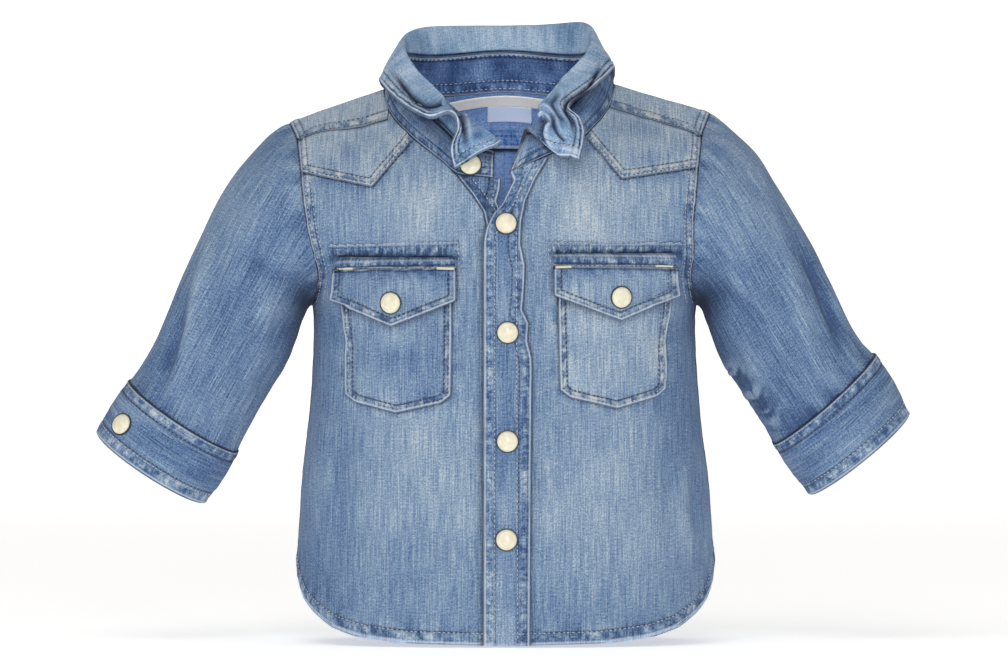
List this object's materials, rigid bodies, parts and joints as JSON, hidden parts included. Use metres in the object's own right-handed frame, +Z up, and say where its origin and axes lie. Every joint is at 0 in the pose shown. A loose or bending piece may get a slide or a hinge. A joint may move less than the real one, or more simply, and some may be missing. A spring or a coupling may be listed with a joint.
{
  "type": "denim shirt",
  "caption": "Child's long-sleeved western denim shirt, filled out as if worn, with an open collar, pointed yokes, flap pockets and snaps.",
  "frame": {"origin": "inside the neck, level with the tops of the shoulders, where a wearer or a form holds the shirt", "axes": "+Z up towards the collar, front towards -Y, the wearer's left towards +X"},
  "size_m": [0.4252, 0.1418, 0.3235],
  "materials": {
    "denim": "light-washed blue denim, faded at the chest, shoulders and folds",
    "denim_band": "folded blue denim, puckered and worn pale along its edges",
    "snap": "cream pearl cap in a dark metal rim",
    "neck_tape": "off-white cotton twill tape",
    "label": "bare white woven label"
  },
  "bodies": {
    "root": {"back": "denim", "back_yoke": "denim", "collar_leaf": "denim_band", "collar_stand": "denim_band", "cuff_left": "denim_band", "cuff_right": "denim_band", "flap_left": "denim", "flap_right": "denim", "front_left": "denim", "front_right": "denim", "front_yoke_left": "denim", "front_yoke_right": "denim", "label": "label", "neck_tape": "neck_tape", "placket_over": "denim_band", "placket_under": "denim_band", "pocket_left": "denim", "pocket_right": "denim", "sleeve_left": "denim", "sleeve_right": "denim", "snap_collar": "snap", "snap_cuff_left": "snap", "snap_cuff_right": "snap", "snap_flap_left": "snap", "snap_flap_right": "snap", "snap_front_1": "snap", "snap_front_2": "snap", "snap_front_3": "snap", "snap_front_4": "snap"}
  },
  "joints": []
}
